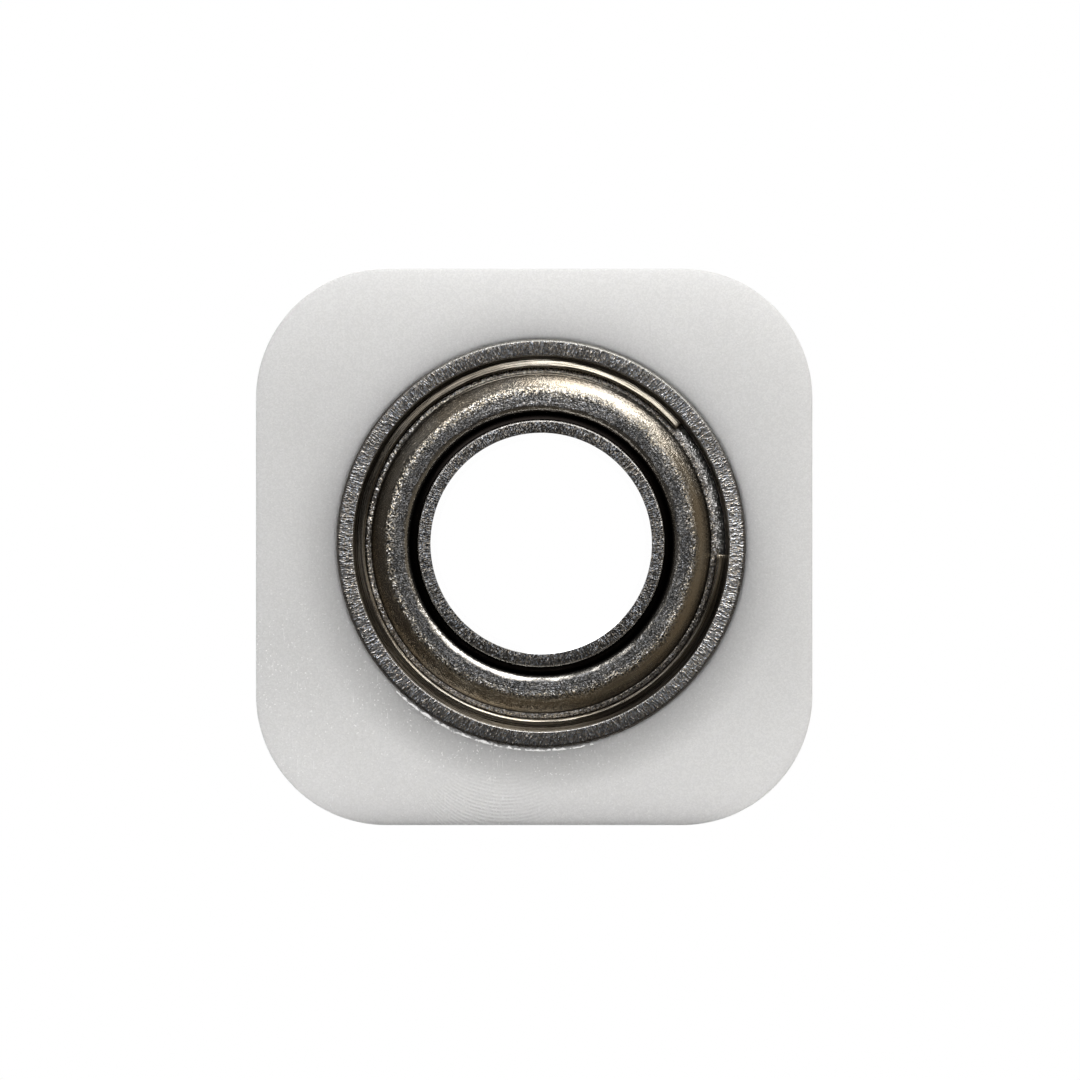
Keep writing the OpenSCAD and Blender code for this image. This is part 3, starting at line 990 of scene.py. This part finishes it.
def floor_paper():
    """Pale matt paper that turns into the white surround away from the block."""
    finish, tree, shader = new_finish("pale_floor", Roughness=0.9)
    place = add(tree, "TexCoord").outputs["Object"]
    fibre = noise_at(tree, place, 900.0, 3.0, 0.6)
    tone = blend_colours(tree, fibre, grey(0.78), grey(0.82))
    tree.links.new(tone, shader.inputs["Base Color"])
    tree.links.new(bump(tree, fibre, 0.02), shader.inputs["Normal"])
    away = add(tree, "VectorMath", {0: place}, operation="LENGTH").outputs["Value"]
    ray = add(tree, "LightPath").outputs
    seen = largest(tree, ray["Is Camera Ray"], ray["Is Glossy Ray"], ray["Is Transmission Ray"])
    far = product(tree, step_up(tree, away, 0.02, 0.09), seen)
    white = add(tree, "Emission", {"Color": grey(1), "Strength": 1.0}).outputs[0]
    mixed = add(tree, "MixShader", {0: far, 1: shader.outputs[0], 2: white}).outputs[0]
    tree.links.new(mixed, tree.nodes["Material Output"].inputs["Surface"])
    return finish


finishes = {
    "white_acetal": acetal(),
    "whitened_acetal": whitened_acetal(),
    "ground_bearing_steel": ring_steel(),
    "tumbled_shield_steel": shield_steel(),
    "spring_wire": wire_steel(),
    "cage_steel": plain_steel("cage_steel", (0.36, 0.31, 0.24, 1), (0.5, 0.44, 0.35, 1), 0.4, 0.008, 7.0),
    "rivet_steel": plain_steel("rivet_steel", (0.4, 0.38, 0.34, 1), (0.55, 0.53, 0.5, 1), 0.3, 0.004, 9.0),
    "polished_ball_steel": plain_steel(
        "polished_ball_steel", (0.58, 0.58, 0.59, 1), (0.63, 0.63, 0.64, 1), 0.08, 0.0004, 5.0),
}


# ---------------------------------------------------------------- pieces

def place_piece(name, mesh, slot, body, *nodes, finish=None):
    """Puts a mesh in the scene as a piece that rides on a body and replaces the nodes named, if any."""
    bmesh.ops.recalc_face_normals(mesh, faces=mesh.faces)
    data = bpy.data.meshes.new(name)
    mesh.to_mesh(data)
    mesh.free()
    data.polygons.foreach_set("use_smooth", [True] * len(data.polygons))
    data.materials.append(finishes[finish or slot])
    piece = bpy.data.objects.new(name, data)
    bpy.context.scene.collection.objects.link(piece)
    weighted = piece.modifiers.new("flat_faces_stay_flat", "WEIGHTED_NORMAL")
    weighted.weight = 100
    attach(piece, body)
    if nodes:
        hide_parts(*nodes)


place_piece("acetal_block", slide_block_mesh(), "white_acetal", "housing", "slide_block")
place_piece("raised_burr", burr_mesh(), "white_acetal", "housing", finish="whitened_acetal")
outer_ring, inner_ring = turned(outer_ring_section()), turned(inner_ring_section())
place_piece("turned_outer_ring", outer_ring, "ground_bearing_steel", "housing", "outer_ring")
place_piece("turned_inner_ring", inner_ring, "ground_bearing_steel", "inner", "inner_ring")
for end, facing, opening_at in (("front", 1, front_opening_at), ("rear", -1, rear_opening_at)):
    shield, wire = turned(shield_section(), facing), bent_wire(opening_at, facing)
    place_piece(f"pressed_{end}_shield", shield, "tumbled_shield_steel", "housing", f"{end}_shield")
    place_piece(f"bent_{end}_wire", wire, "spring_wire", "housing", f"{end}_snap_wire")

for row in frame["record"]["subparts"]:
    for held in frame["nodes"][row["node"]].material_slots:
        held.material = finishes[row["material_slot"]]


# ---------------------------------------------------------------- floor, lights and camera

def pale_floor():
    """A sheet of paper under the block. Metal reflects the room and the backdrop, and not the paper."""
    mesh = bmesh.new()
    bmesh.ops.create_grid(mesh, x_segments=8, y_segments=8, size=0.5)
    data = bpy.data.meshes.new("floor")
    mesh.to_mesh(data)
    mesh.free()
    data.materials.append(floor_paper())
    floor = bpy.data.objects.new("floor", data)
    floor.location = (0, 0, block_low.z - 0.00001)
    floor.visible_glossy = False
    bpy.context.scene.collection.objects.link(floor)


def soft_lamp(name, around, off_axis, distance, size, brightness, colour=(1, 1, 1), front=True):
    """A rectangular lamp that looks at the bearing. Around is up from +X, and off_axis is away from the bore
    axis, both in degrees. Brightness is what its face shows, where 1 is white."""
    data = bpy.data.lights.new(name, "AREA")
    data.shape = "RECTANGLE"
    data.size, data.size_y = size
    data.energy = brightness * math.pi * size[0] * size[1]
    data.color = colour
    lamp = bpy.data.objects.new(name, data)
    a, t = math.radians(around), math.radians(off_axis)
    side = -1 if front else 1
    place = Vector((math.sin(t) * math.cos(a), side * math.cos(t), math.sin(t) * math.sin(a))) * distance
    lamp.location = place
    lamp.rotation_euler = place.to_track_quat("Z", "Y").to_euler()
    bpy.context.scene.collection.objects.link(lamp)


def studio_world():
    """A dark room in front of the bearing, and a white backdrop behind it and past it."""
    world = bpy.data.worlds.new("studio")
    bpy.context.scene.world = world
    world.use_nodes = True
    tree = world.node_tree
    room_light = tree.nodes["Background"]
    x, y, z = add(tree, "SeparateXYZ", {0: add(tree, "TexCoord").outputs["Generated"]}).outputs
    tone = blend_colours(tree, step_up(tree, z, 0.0, 0.9), (0.03, 0.027, 0.024, 1), grey(0.13))
    tone = blend_colours(tree, step_up(tree, x, 0.2, 1.0), tone, (0.19, 0.162, 0.122, 1))
    tone = blend_colours(tree, step_up(tree, z, -0.5, -1.0), tone, (0.10, 0.085, 0.06, 1))
    tone = blend_colours(tree, step_up(tree, y, -0.05, 0.45), tone, grey(0.62))
    tree.links.new(tone, room_light.inputs["Color"])
    room_light.inputs["Strength"].default_value = 1.0
    ray = add(tree, "LightPath").outputs
    mirrored_ray = largest(tree, ray["Is Glossy Ray"], ray["Is Transmission Ray"])
    behind = step_up(tree, y, 0.15, 0.4)
    seen = largest(tree, ray["Is Camera Ray"], product(tree, mirrored_ray, behind))
    white = add(tree, "Background", {"Color": grey(1), "Strength": 1.0}).outputs[0]
    mixed = add(tree, "MixShader", {0: seen, 1: room_light.outputs[0], 2: white}).outputs[0]
    tree.links.new(mixed, tree.nodes["World Output"].inputs["Surface"])


pale_floor()
studio_world()
soft_lamp("main_softbox", 66, 51, 0.16, (0.09, 0.13), 3.6, (1.0, 0.99, 0.97))
soft_lamp("upper_softbox", 108, 30, 0.2, (0.12, 0.075), 4.0)
soft_lamp("rear_softbox", 110, 50, 0.17, (0.12, 0.12), 1.6, front=False)

view_w = 41.54
view_x = -0.046
view_z = 0.135
camera_away = 0.25
camera_data = bpy.data.cameras.new("camera")
camera_data.type = "ORTHO"
camera_data.ortho_scale = view_w * MM
camera = bpy.data.objects.new("camera", camera_data)
camera.location = (view_x * MM, -camera_away, view_z * MM)
camera.rotation_euler = (math.pi / 2, 0, 0)
bpy.context.scene.collection.objects.link(camera)
bpy.context.scene.camera = camera
bpy.context.scene.view_settings.view_transform = "Standard"
